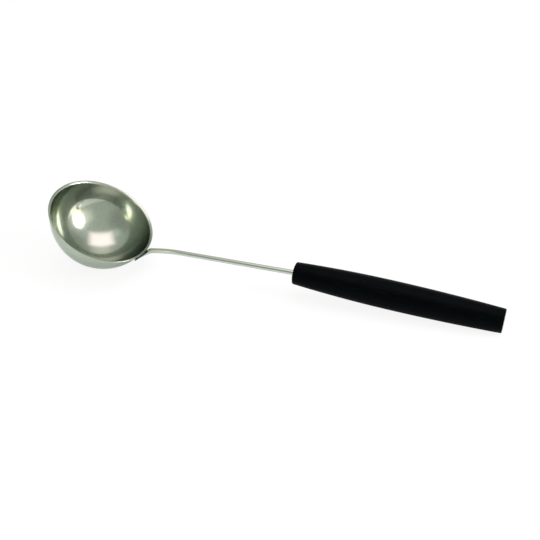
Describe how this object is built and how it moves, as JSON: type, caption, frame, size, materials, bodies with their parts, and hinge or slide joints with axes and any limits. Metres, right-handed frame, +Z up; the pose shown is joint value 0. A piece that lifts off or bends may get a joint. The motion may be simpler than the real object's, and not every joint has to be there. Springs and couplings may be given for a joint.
{
  "type": "sauna ladle",
  "caption": "Sauna ladle: round pressed steel bowl with a narrow lip, slim bent steel stem spot-welded under it and a turned, barrel-shaped black handle, for scooping and pouring water.",
  "frame": {"origin": "centre of the footprint of the bounding box, on the table under the lying ladle", "axes": "+X from the bowl along the stem to the handle's rear end, +Y to the left seen from the handle's end towards +X, +Z up from the table; the ladle lies on its bowl and on the lower edge of the handle's rear end, and XZ is its mirror plane"},
  "size_m": [0.4482, 0.1068, 0.0724],
  "materials": {
    "bowl_steel": "pressed stainless sheet, polished to a soft mirror",
    "stem_steel": "drawn stainless rod, bright polished",
    "weld_metal": "as welded",
    "black_lacquer": "turned wood under satin black lacquer",
    "epoxy": "set adhesive, hidden"
  },
  "bodies": {
    "root": {"bowl": "bowl_steel", "stem": "stem_steel", "spot_weld_left": "weld_metal", "spot_weld_right": "weld_metal", "handle": "black_lacquer", "tang_adhesive": "epoxy"}
  },
  "joints": []
}
